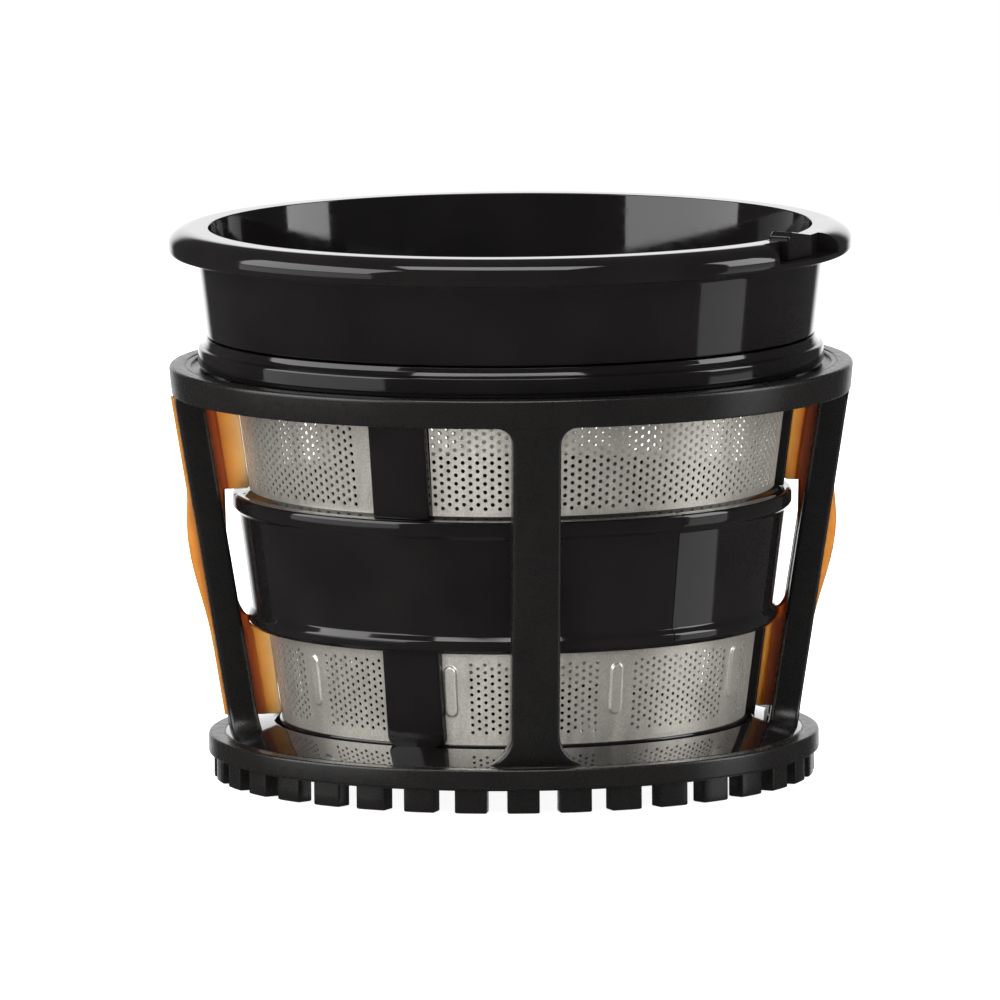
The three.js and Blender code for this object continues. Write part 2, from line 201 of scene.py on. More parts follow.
def makePiece(name, node, body, shape, material, sharp=32):
    points, faces = shape
    mesh = bpy.data.meshes.new(name)
    mesh.from_pydata([(x * mm, y * mm, z * mm) for x, y, z in points], [], faces)
    mesh.validate()
    piece = bpy.data.objects.new(name, mesh)
    bpy.context.scene.collection.objects.link(piece)
    fixNormals(piece)
    mesh.materials.append(material)
    finishMesh(piece, sharp)
    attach(piece, body)
    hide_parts(node)
    return piece


def fixNormals(piece):
    # welds points that fall together and turns all faces outwards
    work = bmesh.new()
    work.from_mesh(piece.data)
    bmesh.ops.remove_doubles(work, verts=work.verts, dist=1e-7)
    bmesh.ops.recalc_face_normals(work, faces=work.faces)
    work.to_mesh(piece.data)
    work.free()


def finishMesh(piece, sharp):
    mesh = piece.data
    mesh.polygons.foreach_set("use_smooth", [True] * len(mesh.polygons))
    mesh.set_sharp_from_angle(angle=math.radians(sharp))
    mesh.update()


def cutAway(piece, shape, sharp=32):
    # takes a closed shape out of a piece
    points, faces = shape
    mesh = bpy.data.meshes.new("cutter")
    mesh.from_pydata([(x * mm, y * mm, z * mm) for x, y, z in points], [], faces)
    cutter = bpy.data.objects.new("cutter", mesh)
    bpy.context.scene.collection.objects.link(cutter)
    fixNormals(cutter)
    modifier = piece.modifiers.new("cut", "BOOLEAN")
    modifier.object = cutter
    modifier.operation = "DIFFERENCE"
    modifier.solver = "EXACT"
    seen = piece.evaluated_get(bpy.context.evaluated_depsgraph_get())
    carved = bpy.data.meshes.new_from_object(seen)
    piece.modifiers.clear()
    piece.data = carved
    bpy.data.objects.remove(cutter)
    finishMesh(piece, sharp)


def sectorBlock(fromAngle, toAngle, inner, outer, lowZ, highZ, steps=24):
    loops = []
    for z in (lowZ, highZ):
        angles = [mix(fromAngle, toAngle, k / steps) for k in range(steps + 1)]
        loop = [polar(outer, z, a) for a in angles] + [polar(inner, z, a) for a in reversed(angles)]
        loops.append(loop)
    return lofted(loops)


def straightBlock(angle, width, inner, outer, lowZ, highZ):
    half = width / 2
    loops = []
    for z in (lowZ, highZ):
        corners = ((half, outer), (-half, outer), (-half, inner), (half, inner))
        loops.append([polar(math.hypot(r, w), z, angle, w) for w, r in corners])
    return lofted(loops)


# Finishes


def newMaterial(name):
    material = bpy.data.materials.new(name)
    material.use_nodes = True
    tree = material.node_tree
    return material, tree.nodes, tree.links, tree.nodes["Principled BSDF"]


def noiseOf(nodes, links, scale, detail, stretch=(1, 1, 1)):
    place = nodes.new("ShaderNodeTexCoord")
    mapping = nodes.new("ShaderNodeMapping")
    mapping.inputs["Scale"].default_value = stretch
    noise = nodes.new("ShaderNodeTexNoise")
    noise.inputs["Scale"].default_value = scale
    noise.inputs["Detail"].default_value = detail
    links.new(place.outputs["Object"], mapping.inputs["Vector"])
    links.new(mapping.outputs["Vector"], noise.inputs["Vector"])
    return noise.outputs["Fac"]


noiseSpan = (0.3, 0.7)  # the part of a noise's range that the ramps spread out


def rampOf(nodes, links, source, low, high):
    ramp = nodes.new("ShaderNodeValToRGB")
    ramp.color_ramp.elements[0].position = noiseSpan[0]
    ramp.color_ramp.elements[1].position = noiseSpan[1]
    ramp.color_ramp.elements[0].color = (*low, 1)
    ramp.color_ramp.elements[1].color = (*high, 1)
    links.new(source, ramp.inputs["Fac"])
    return ramp.outputs["Color"]


def rangeOf(nodes, links, source, low, high):
    spread = nodes.new("ShaderNodeMapRange")
    spread.inputs["From Min"].default_value = noiseSpan[0]
    spread.inputs["From Max"].default_value = noiseSpan[1]
    spread.inputs["To Min"].default_value = low
    spread.inputs["To Max"].default_value = high
    links.new(source, spread.inputs["Value"])
    return spread.outputs["Result"]


def bumpOf(nodes, links, height, strength, distance):
    bump = nodes.new("ShaderNodeBump")
    bump.inputs["Strength"].default_value = strength
    bump.inputs["Distance"].default_value = distance
    links.new(height, bump.inputs["Height"])
    return bump.outputs["Normal"]


def dressed(name, look):
    # a finish with its own tone, wear and grain; each noise is scale, detail and sometimes stretch
    material, nodes, links, shader = newMaterial(name)
    tone = noiseOf(nodes, links, *look["toneNoise"])
    links.new(rampOf(nodes, links, tone, *look["tones"]), shader.inputs["Base Color"])
    wear = noiseOf(nodes, links, *look["wearNoise"])
    links.new(rangeOf(nodes, links, wear, *look["roughness"]), shader.inputs["Roughness"])
    grain = noiseOf(nodes, links, *look["grainNoise"])
    links.new(bumpOf(nodes, links, grain, *look["grain"]), shader.inputs["Normal"])
    for socket, value in look["shader"].items():
        shader.inputs[socket].default_value = value
    return material


glossLook = {
    "tones": ((0.0052, 0.0046, 0.0045), (0.0085, 0.0076, 0.0074)),
    "toneNoise": (60, 3),
    "roughness": (0.04, 0.09),
    "wearNoise": (350, 6, (1, 1, 3)),
    "grain": (0.05, 0.0004),  # strength, and depth in metres
    "grainNoise": (90, 1),
    "shader": {"IOR": 1.5},
}
satinLook = {
    "tones": ((0.0062, 0.0055, 0.0052), (0.0078, 0.007, 0.0066)),
    "toneNoise": (120, 4),
    "roughness": (0.25, 0.31),
    "wearNoise": (700, 5),
    "grain": (0.16, 0.00006),
    "grainNoise": (3200, 2),
    "shader": {"IOR": 1.5},
}
steelLook = {
    "tones": ((0.62, 0.59, 0.53), (0.8, 0.77, 0.7)),
    "toneNoise": (2600, 3),
    "roughness": (0.34, 0.44),
    "wearNoise": (900, 4, (1, 1, 0.12)),
    "grain": (0.22, 0.00003),
    "grainNoise": (3500, 2),
    "shader": {"Metallic": 0.9},
}
siliconeLook = {  # colour across the blade from the thin bearing edge (0) over the root at the post to the outer strip (1): over the silicone's own orange, the pale bearing edge is painted light and the dark band at the root beside the post is painted shade
    "litAndShadedTints": (
        (0.0, (0.8, 0.54, 0.25)),
        (0.15, (0.74, 0.37, 0.08)),
        (0.265, (0.6, 0.2, 0.025)),
        (0.295, (0.34, 0.055, 0.004)),
        (0.45, (0.32, 0.05, 0.004)),
        (0.8, (0.66, 0.27, 0.035)),
    ),
    "tones": ((0.86, 0.84, 0.8), (1, 1, 1)),  # a faint cloud over the lit and shaded colours
    "toneNoise": (260, 4),
    "roughness": (0.3, 0.42),
    "wearNoise": (900, 4),
    "grain": (0.15, 0.00005),
    "grainNoise": (1500, 2),
    "shader": {
        "IOR": 1.41,
        "Transmission Weight": 0.5,
        "Subsurface Weight": 0.6,
        "Subsurface Radius": (0.004, 0.0016, 0.0004),
        "Subsurface Scale": 1.0,
    },
}


def orangeSilicone():
    material = dressed("orangeSilicone", siliconeLook)
    nodes, links = material.node_tree.nodes, material.node_tree.links
    base = nodes["Principled BSDF"].inputs["Base Color"]
    cloud = base.links[0].from_socket
    # a ramp along the blade paints light and shade: pale at the bearing edge, dark at the root beside the
    # post
    depth = nodes.new("ShaderNodeAttribute")
    depth.attribute_name = "depth"
    ramp = nodes.new("ShaderNodeValToRGB")
    litAndShadedTints = siliconeLook["litAndShadedTints"]
    elements = ramp.color_ramp.elements
    while len(elements) < len(litAndShadedTints):
        elements.new(0.5)
    for element, (at, tint) in zip(elements, litAndShadedTints):
        element.position = at
        element.color = (*tint, 1)
    links.new(depth.outputs["Fac"], ramp.inputs["Fac"])
    shade = nodes.new("ShaderNodeMix")
    shade.data_type = "RGBA"
    shade.blend_type = "MULTIPLY"
    shade.inputs["Factor"].default_value = 1.0
    links.new(ramp.outputs["Color"], shade.inputs["A"])
    links.new(cloud, shade.inputs["B"])
    links.new(shade.outputs["Result"], base)
    return material


gloss = dressed("glossBlack", glossLook)
satin = dressed("satinBlack", satinLook)
steel = dressed("screenSteel", steelLook)
silicone = orangeSilicone()
print("finishes mixed")

# Camera and studio

studio = {
    "standOff": 2.6551,
    "eyeHeight": 0.3777,
    "aside": -0.00209,
    "tilt": 7.093,  # degrees down
    "roll": 0.44,
    "lens": 557.3,
    "sensor": 36,
    "seesTo": 20,
}


def placeCamera():
    lens = bpy.data.cameras.new("camera")
    lens.sensor_width = studio["sensor"]
    lens.lens = studio["lens"]
    lens.clip_end = studio["seesTo"]
    camera = bpy.data.objects.new("camera", lens)
    bpy.context.scene.collection.objects.link(camera)
    camera.location = (studio["aside"], -studio["standOff"], studio["eyeHeight"])
    camera.rotation_mode = "XYZ"
    camera.rotation_euler = (math.radians(90 - studio["tilt"]), 0, 0)
    look = camera.rotation_euler.to_quaternion()
    lensAxis = Vector((0, 0, 1))
    camera.rotation_mode = "QUATERNION"
    camera.rotation_quaternion = look @ Quaternion(lensAxis, math.radians(-studio["roll"]))
    bpy.context.scene.camera = camera


softBoxes = {  # azimuth and elevation of the middle, width, height, distance, radiance
    "rightBox": (87, 17, 0.42, 0.7, 1.1, 4.5),
    "rightTable": (87, -14, 0.42, 0.4, 1.1, 0.8),
    "leftBox": (-74, 24, 1.15, 0.8, 1.1, 3.6),
    "leftTable": (-74, -3, 1.15, 0.16, 1.1, 1.0),
    "overhead": (-10, 70, 1.0, 0.6, 1.3, 5.0),
}
screenBox = (-6, 8, 1.5, 0.7, 1.3, 4.1)  # a broad front light that only the screens take
aimZ = 0.05  # height that the lights face, in metres


def hangLight(name, azimuth, elevation, width, height, away, radiance):
    light = bpy.data.lights.new(name, "AREA")
    light.shape = "RECTANGLE"
    light.size = width
    light.size_y = height
    light.energy = radiance * math.pi * width * height
    lamp = bpy.data.objects.new(name, light)
    bpy.context.scene.collection.objects.link(lamp)
    up, turn = math.radians(elevation), math.radians(azimuth)
    heading = Vector((math.cos(up) * math.sin(turn), -math.cos(up) * math.cos(turn), math.sin(up)))
    lamp.location = heading * away + Vector((0, 0, aimZ))
    lamp.rotation_euler = heading.to_track_quat("Z", "Y").to_euler()
    return lamp


def lightScreens(screens):
    lamp = hangLight("screenLight", *screenBox)
    group = bpy.data.collections.new("screens")
    for screen in screens:
        group.objects.link(screen)
    lamp.light_linking.receiver_collection = group


surround = {  # what the polished parts mirror; everything else is lit by an even white
    "front": 0.06,
    "back": 1.45,
    "backLow": 0.9,  # where the white starts, as the Y of the direction
    "backFull": 0.985,
    "ceilingLow": 0.16,  # height of the white backdrop, as the Z of the direction
    "ceilingFull": 0.34,
    "white": 0.8,
}


def lightSurround():
    world = bpy.data.worlds.new("studio")
    bpy.context.scene.world = world
    world.use_nodes = True
    nodes, links = world.node_tree.nodes, world.node_tree.links
    place = nodes.new("ShaderNodeTexCoord")
    parts = nodes.new("ShaderNodeSeparateXYZ")
    links.new(place.outputs["Generated"], parts.inputs["Vector"])

    def stepOf(source, low, high, fromValue, toValue):
        spread = nodes.new("ShaderNodeMapRange")
        spread.interpolation_type = "SMOOTHSTEP"
        spread.inputs["From Min"].default_value = low
        spread.inputs["From Max"].default_value = high
        spread.inputs["To Min"].default_value = fromValue
        spread.inputs["To Max"].default_value = toValue
        links.new(source, spread.inputs["Value"])
        return spread.outputs["Result"]

    behind = stepOf(parts.outputs["Y"], surround["backLow"], surround["backFull"], 0, 1)
    below = stepOf(parts.outputs["Z"], surround["ceilingLow"], surround["ceilingFull"], 1, 0)
    white = nodes.new("ShaderNodeMath")
    white.operation = "MULTIPLY"
    links.new(behind, white.inputs[0])
    links.new(below, white.inputs[1])
    level = stepOf(white.outputs[0], 0, 1, surround["front"], surround["back"])
    path = nodes.new("ShaderNodeLightPath")
    seen = stepOf(path.outputs["Is Camera Ray"], 0, 1, surround["white"], 1.0)
    shown = nodes.new("ShaderNodeMix")
    links.new(path.outputs["Is Glossy Ray"], shown.inputs[0])
    links.new(seen, shown.inputs[2])
    links.new(level, shown.inputs[3])
    nodes["Background"].inputs["Color"].default_value = (1, 1, 1, 1)
    links.new(shown.outputs[0], nodes["Background"].inputs["Strength"])


table = {
    "radius": 900,
    "thickness": 2.0,
    "drop": 0.0002,  # metres under the teeth
    "tones": ((0.9, 0.9, 0.9), (0.93, 0.93, 0.93)),
    "toneNoise": (4, 2),
    "roughness": 0.9,
    "glow": 0.93,  # the table is lit from beneath
}


def layFloor():
    radius, hub, foot = table["radius"], 0.001, -table["thickness"]
    points, faces = turned([(hub, 0.0), (radius, 0.0), (radius, foot), (hub, foot)], 96)
    mesh = bpy.data.meshes.new("floor")
    mesh.from_pydata([(x * mm, y * mm, z * mm - table["drop"]) for x, y, z in points], [], faces)
    floor = bpy.data.objects.new("floor", mesh)
    bpy.context.scene.collection.objects.link(floor)
    fixNormals(floor)
    material, nodes, links, shader = newMaterial("paleFloor")
    tone = noiseOf(nodes, links, *table["toneNoise"])
    links.new(rampOf(nodes, links, tone, *table["tones"]), shader.inputs["Base Color"])
    shader.inputs["Roughness"].default_value = table["roughness"]
    shader.inputs["Emission Color"].default_value = (1, 1, 1, 1)
    shader.inputs["Emission Strength"].default_value = table["glow"]
    mesh.materials.append(material)
    floor.visible_glossy = False  # the table stays out of the polished black


placeCamera()
for boxName, settings in softBoxes.items():
    hangLight(boxName, *settings)
lightSurround()
layFloor()
bpy.context.scene.view_settings.view_transform = "Standard"
print("studio set")

# Strainer collar: the polished mouth of the strainer, with the key's notch in its rim

collar = {
    "neckStep": 3.05,
    "collarStep": 1.8,
    "flare": 1.6,
    "wall": 1.9,
    "rimOverhang": 5.0,
    "rimThickness": 4.8,
    "rimRoll": 2.6,  # height of the rounded outer edge of the rim
    "grooveDepth": 0.3,
    "notchFrom": 51,  # degrees
    "notchTo": 72.5,
    "notchDepth": 3.7,
    "notchSill": 1.5,
    "keyAngle": 61,  # degrees
    "keyWidth": 8.6,
    "keyInset": 6.2,
    "keySetback": 2.3,
    "keyRidge": 3,
    "keyEaves": 0.6,
    "keyShoulder": 0.4,
    "pocketHalf": 4.85,  # degrees
}
neckRadius = screenTopRadius + collar["neckStep"]
collarFootRadius = neckRadius + collar["collarStep"]
collarTopRadius = collarFootRadius + collar["flare"]
rimRadius = collarTopRadius + collar["rimOverhang"]
rimTopZ = topOf("strainer_collar")
rimFootZ = rimTopZ - collar["rimThickness"]
grooveZ = topOf("glide_ring") + collar["grooveDepth"]


def makeCollar():
    innerTop, innerFoot = collarTopRadius - collar["wall"], collarFootRadius - collar["wall"]
    neckFootZ = footOf("strainer_collar")
    glideFootZ = footOf("glide_ring")
    throat = screenTopRadius - basket["frameDepth"]
    sillNotchZ = rimFootZ + collar["notchSill"]
    notchRadius = rimRadius - collar["notchDepth"]
    pocketRadius = rimRadius - collar["keyInset"] - 0.25
    below = filleted([
        (throat, neckFootZ + 0.2, 0.2),
        (throat + 0.2, neckFootZ, 0.2),
        (neckRadius, neckFootZ, 0.4),
        (neckRadius, grooveZ, 0.35),
        (collarFootRadius, grooveZ, 0.4),
        (collarTopRadius, rimFootZ, 1.3),
        (rimRadius, rimFootZ + 0.25, 1.2),
        (rimRadius, sillNotchZ + 1.4, 0),
    ])[1:]
    below[-1] = (rimRadius, sillNotchZ)
    noseZ = rimTopZ - collar["rimRoll"]
    outerFace = [(rimRadius, mix(sillNotchZ, noseZ, k / 4)) for k in range(1, 5)]
    roll = []  # from the nose of the rim up to its flat top
    for k in range(1, 13):
        turn = math.radians(90 * k / 12)
        r = mix(notchRadius, rimRadius, math.cos(turn))
        roll.append((r, mix(noseZ, rimTopZ, math.sin(turn))))
    innerLand = [(mix(notchRadius, pocketRadius, k / 5), rimTopZ) for k in range(1, 6)]
    ledge = [(mix(rimRadius, notchRadius, k / 8), sillNotchZ) for k in range(1, 9)]
    notchWall = [(notchRadius, mix(sillNotchZ, rimTopZ, k / 8)) for k in range(1, 9)]
    pocketLedge = [(mix(notchRadius, pocketRadius, k / 8), sillNotchZ) for k in range(1, 9)]
    pocketWall = [(pocketRadius, mix(sillNotchZ, rimTopZ, k / 5)) for k in range(1, 6)]
    innerFace = filleted([
        (pocketRadius - 0.05, rimTopZ, 0),
        (innerTop, rimTopZ, 0.55),
        (innerFoot, glideFootZ + 5.1, 1.2),
        (neckRadius - collar["wall"], glideFootZ, 1.0),
        (throat, neckFootZ + collar["wall"], 0.3),
        (throat, neckFootZ + 0.2, 0),
    ])[1:]
    full = below + outerFace + roll + innerLand + innerFace
    notched = below + ledge + notchWall + innerLand + innerFace
    pocketed = below + ledge + pocketLedge + pocketWall + innerFace
    keyFrom = collar["keyAngle"] - collar["pocketHalf"]
    keyTo = collar["keyAngle"] + collar["pocketHalf"]
    # where the section changes, and from what to what
    stations = [(collar["notchFrom"], full, notched), (keyFrom, notched, pocketed),
                (keyTo, pocketed, notched), (collar["notchTo"], notched, full)]
    points, columns, current = [], 0, full
    segments = 320
    for i in range(segments):
        angle = 360 * i / segments
        while stations and stations[0][0] < angle:
            at, before, after = stations.pop(0)
            for state in (before, after):
                points += [polar(r, z, at) for r, z in state]
                columns += 1
            current = after
        points += [polar(r, z, angle) for r, z in current]
        columns += 1
    shape = points, gridFaces(columns, len(full), True)
    makePiece("strainerCollar", "strainer_collar", "strainer", shape, gloss)


def makeKey():
    footZ = rimFootZ + collar["notchSill"] + 0.1
    ridgeZ = topOf("locating_key")
    half = collar["keyWidth"] / 2
    inner, outer = rimRadius - collar["keyInset"], rimRadius - collar["keySetback"]
    outline = filleted([
        (-half, footZ, 0), (half, footZ, 0), (half, rimTopZ + collar["keyShoulder"], 0.3),
        (-collar["keyRidge"], ridgeZ, 0.3), (-half, ridgeZ - collar["keyEaves"], 0.3),
    ], 4)
    loops = []
    # radius and bevel of each section
    for r, shrink in ((inner, 0.25), (inner + 0.08, 0.08), (inner + 0.25, 0),
                      (outer - 0.3, 0), (outer - 0.1, 0.1), (outer, 0.3)):
        loop = []
        for w, z in outline:
            w *= 1 - shrink / half
            z = z - shrink * (z - footZ) / (ridgeZ - footZ)
            loop.append(polar(math.hypot(r, w), z, collar["keyAngle"], w))
        loops.append(loop)
    makePiece("locatingKey", "locating_key", "strainer", lofted(loops), gloss, 25)


makeCollar()
makeKey()
print("collar and key made")

# Glide ring: the bead that the collar turns on

glide = {
    "boreGap": 0.3,
    "beadDrop": 1.7,  # from the top down to the bead
    "crownStep": 1.45,  # from the bead in to the crown
}


def makeGlideRing():
    bore, bead = neckRadius + glide["boreGap"], reachOf("glide_ring")
    low, high = footOf("glide_ring"), topOf("glide_ring")
    outline = filleted([
        (bore, low, 0.15), (bead - 0.3, low, 0.4), (bead, low + 0.9, 0.5),
        (bead, high - glide["beadDrop"], 0.55), (bead - 0.75, high - 1.45, 0.4),
        (bead - 1.25, high - 0.8, 0.6), (bead - glide["crownStep"], high, 0.15), (bore, high, 0.15),
    ])
    makePiece("glideRing", "glide_ring", "glide", turned(outline), gloss)


makeGlideRing()

# Basket frame: hoop, mid band with its two beads, base ring and ribs

band = {
    "wallProud": 2.45,
    "upperBeadProud": 1.1,
    "upperBeadHeight": 3.8,
    "lowerBeadProud": 0.9,
    "lowerBeadHeight": 3.0,
    "lowerBeadFlat": 1.2,
    "seams": (37, 157, 277),  # fine parting lines across the band
    "seamDepth": 0.16,
    "seamHalf": 0.16,  # degrees
}


def makeHoop():
    inner, outer = screenTopRadius - basket["frameDepth"], reachOf("basket_hoop")
    low, high = footOf("basket_hoop"), topOf("basket_hoop")
    outline = filleted([(inner, low, 0.3), (outer, low, 0.4), (outer, high, 0.3), (inner, high, 0.2)])
    makePiece("basketHoop", "basket_hoop", "strainer", turned(outline), gloss)


def makeMidBand():
    low, high = footOf("mid_band"), topOf("mid_band")

    def wall(z):
        return screenRadius(z) + band["wallProud"]

    lowBead, highBead = low + band["lowerBeadHeight"], high - band["upperBeadHeight"]
    lowMiddle = low + band["lowerBeadHeight"] / 2
    lowReach = wall(lowMiddle) + band["lowerBeadProud"]
    highReach = wall(highBead) + band["upperBeadProud"]
    outline = filleted([
        (screenRadius(low) - basket["frameDepth"], low, 0.3),
        (wall(low) + 0.3, low, 0.5),
        (lowReach, lowMiddle - band["lowerBeadFlat"] / 2, 0.8),
        (lowReach, lowMiddle + band["lowerBeadFlat"] / 2, 0.8),
        (wall(lowBead), lowBead + 0.1, 0.5),
        (wall(highBead), highBead - 0.1, 0.5),
        (highReach, highBead + 0.8, 1.0),
        (highReach, high - 0.5, 1.7),
        (screenRadius(high) + 1.2, high - 0.75, 1.5),
        (screenRadius(high) + 0.1, high, 0.2),
        (screenRadius(high) - basket["frameDepth"], high, 0.3),
    ])
    half = band["seamHalf"]
    angles = [(360 * i / 320, 0) for i in range(320)]
    angles = [(a, dip) for a, dip in angles if all(abs(a - seam) > 2 * half for seam in band["seams"])]
    for seam in band["seams"]:
        angles += [(seam - half, 0), (seam, band["seamDepth"]), (seam + half, 0)]
    angles.sort()
    points = []
    for angle, dip in angles:
        points += [polar(r - (dip if r > screenRadius(z) + 1 else 0), z, angle) for r, z in outline]
    shape = points, gridFaces(len(angles), len(outline), True)
    makePiece("midBand", "mid_band", "strainer", shape, gloss)


def makeBaseRing():
    inner, outer = screenFootRadius - basket["frameDepth"], reachOf("base_ring")
    low, high = footOf("base_ring"), topOf("base_ring")
    outline = filleted([(inner, low, 0.3), (outer, low, 0.5), (outer, high, 0.4), (inner, high, 0.3)])
    makePiece("baseRing", "base_ring", "strainer", turned(outline), gloss)


def makeRib(name, node, angle, lowZ, highZ, footRound):
    half = basket["ribWidth"] / 2
    loops, heights = [], []
    if footRound:
        heights = [lowZ + footRound * (1 - math.cos(math.radians(a))) for a in range(0, 90, 10)]
    heights += [mix(lowZ + footRound, highZ, k / 8) for k in range(9)]
    for z in heights:
        down = max(0, lowZ + footRound - z)
        pull = footRound - math.sqrt(max(footRound ** 2 - down ** 2, 0)) if footRound else 0
        inner, outer = screenRadius(z) - basket["frameDepth"], screenRadius(z) + basket["ribProud"]
        loops.append(sectionLoop(half - pull, inner, outer, basket["ribCorner"], z, angle))
    makePiece(name, node, "strainer", lofted(loops), gloss)


makeHoop()
makeMidBand()
makeBaseRing()
for ribName, ribAngle in zip(ribNames, basket["ribAngles"]):
    side = joined(ribName)
    makeRib("lowerRib" + side, "lower_rib_" + ribName, ribAngle, sillZ - 0.6, lowerWindowTopZ + 0.6,
            basket["ribFootRound"])
    makeRib("upperRib" + side, "upper_rib_" + ribName, ribAngle, bandTopZ - 0.5, hoopFootZ + 0.3, 0)
print("basket frame made")

# Screens: steel sheet with real round holes, and pressed beads in the lower windows

upperHoles = {
    "pitch": 1.457,
    "step": 1.55,  # degrees from column to column
    "radius": 0.36,
    "firstRow": 51.4,
    "rows": 11,
    "phase": 12.06,  # degrees from the rib to a column
    "seam": 5.2,  # degrees left plain beside the next rib
    "middleZ": 58,
    "room": 0.2,  # degrees from a rib to the nearest hole
}
lowerHoles = {
    "pitch": 1.32,
    "step": 30 / 18,
    "radius": 0.305,
    "firstRow": 12.3,
    "rows": 10,
    "middleZ": 18,
    "room": 0.9,
}
sheetTuck = 0.9  # degrees that a screen runs in under each rib
beads = {
    "first": 25,
    "spacing": 40,
    "clear": 5,  # degrees from a bead to the nearest column of holes
    "lowZ": 14.9,
    "highZ": 23.9,
    "halfWidth": 1.2,
    "height": 0.32,
    "edge": 0.28,
    "steps": 48,
    "finer": 4,  # levels in a bead for each level between holes
}
holeSides = 18  # three for each side of a hole's six-sided border


class Sheet:
    # two skins with shared points at the same angle and height
    def __init__(self):
        self.points, self.faces, self.known = [], [], {}

    def at(self, angle, z, skin, lift=0):
        key = (round(angle, 4), round(z, 4), skin)
        if key not in self.known:
            radius = screenRadius(z) - skin * basket["sheet"] + lift
            self.known[key] = len(self.points)
            self.points.append(polar(radius, z, angle))
        return self.known[key]

    def face(self, corners, lift=None):
        # corners as (angle, height), counted the same way round on both skins
        for skin in (0, 1):
            order = corners if skin == 0 else corners[::-1]
            self.faces.append(tuple(self.at(a, z, skin, lift(a, z) if lift else 0) for a, z in order))

    def hole(self, fromAngle, toAngle, low, pitch, radius):
        middle, centre, high = (fromAngle + toAngle) / 2, low + pitch / 2, low + pitch
        border = [(fromAngle, low), (toAngle, low), (toAngle, centre)]
        border += [(toAngle, high), (fromAngle, high), (fromAngle, centre)]
        wide = math.degrees(radius / screenRadius(centre))
        turns = [math.atan2(z - centre, math.radians(a - middle) * screenRadius(centre)) for a, z in border]
        perSide = holeSides // 6
        ring = []
        for turn, after in zip(turns, turns[1:] + turns[:1]):
            sweep = (after - turn) % (2 * math.pi)
            for k in range(perSide):
                at = turn + sweep * k / perSide
                ring.append((middle + wide * math.cos(at), centre + radius * math.sin(at)))
        for i in range(6):
            a, b = border[i], border[(i + 1) % 6]
            c = [ring[(perSide * i + k) % holeSides] for k in range(perSide + 1)]
            self.face([a, c[1], c[0]])
            self.face([a, b, c[2], c[1]])
            self.face([b, c[3], c[2]])
        for a, b in zip(ring, ring[1:] + ring[:1]):
            self.faces.append((self.at(*a, 0), self.at(*b, 0), self.at(*b, 1), self.at(*a, 1)))

    def strip(self, fromAngle, toAngle, levels, lift=None):
        for low, high in zip(levels, levels[1:]):
            self.face([(fromAngle, low), (toAngle, low), (toAngle, high), (fromAngle, high)], lift)

    def edge(self, places):
        # joins the two skins along a line of (angle, height)
        for a, b in zip(places, places[1:]):
            self.faces.append((self.at(*a, 0), self.at(*a, 1), self.at(*b, 1), self.at(*b, 0)))


def perforatedColumn(sheet, fromAngle, toAngle, kind, holes, levels):
    base, pitch = levels[0], holes["pitch"]
    if kind == "plain":
        sheet.strip(fromAngle, toAngle, levels)
        return
    shift = 0.5 if kind == "odd" else 0  # odd columns start half a pitch higher
    if shift:
        sheet.strip(fromAngle, toAngle, levels[:2])
        sheet.strip(fromAngle, toAngle, levels[-2:])
    for row in range(holes["rows"] - math.ceil(shift)):
        sheet.hole(fromAngle, toAngle, base + pitch * (row + shift), pitch, holes["radius"])


def sheetLevels(holes, lowZ, highZ):
    base, half = holes["firstRow"] - holes["pitch"] / 2, holes["pitch"] / 2
    levels = [base + half * k for k in range(2 * holes["rows"] + 1)]
    lower = [mix(lowZ, levels[0], k / 3) for k in range(4)]
    upper = [mix(levels[-1], highZ, k / 3) for k in range(4)]
    return levels, (lower, upper)


def ribHalf(holes):  # half a rib's width in degrees, at the middle of the holes
    return math.degrees(basket["ribWidth"] / 2 / screenRadius(holes["middleZ"]))


def clearOfRibs(angle, holes):
    half = ribHalf(holes) + holes["room"]
    return all(abs((angle - rib + 180) % 360 - 180) > half for rib in basket["ribAngles"])


def closeSheet(sheet, columns, levels, borders, fromLevels, toLevels):
    lowZ, highZ = borders[0][0], borders[1][-1]
    angles = [column[0] for column in columns] + [columns[-1][1]]
    for fromAngle, toAngle, _ in columns:
        sheet.strip(fromAngle, toAngle, borders[0])
        sheet.strip(fromAngle, toAngle, borders[1])
    sheet.edge([(angle, lowZ) for angle in angles])
    sheet.edge([(angle, highZ) for angle in angles])
    sheet.edge([(angles[0], z) for z in borders[0] + fromLevels[1:] + borders[1][1:]])
    sheet.edge([(angles[-1], z) for z in borders[0] + toLevels[1:] + borders[1][1:]])


def makeUpperScreen(name, node, ribAngle):
    sheet = Sheet()
    step, phase = upperHoles["step"], upperHoles["phase"]
    levels, borders = sheetLevels(upperHoles, bandTopZ - 0.8, hoopFootZ + 0.6)
    inset = ribHalf(upperHoles) - sheetTuck
    low, high = ribAngle + inset, ribAngle + basket["ribSpacing"] - inset
    columns = []
    for k in range(round(basket["ribSpacing"] / step)):
        middle = ribAngle + phase + step * (k - round(phase / step))
        if low < middle - step / 2 and middle + step / 2 < high:
            kind = ("even", "odd")[(k - round(phase / step)) % 2]
            punched = clearOfRibs(middle, upperHoles) and middle < high - upperHoles["seam"]
            columns.append((middle - step / 2, middle + step / 2, kind if punched else "plain"))
    for fromAngle, toAngle, kind in columns:
        perforatedColumn(sheet, fromAngle, toAngle, kind, upperHoles, levels)
    closeSheet(sheet, columns, levels, borders, levels, levels)
    return makePiece(name, node, "strainer", (sheet.points, sheet.faces), steel, 40)


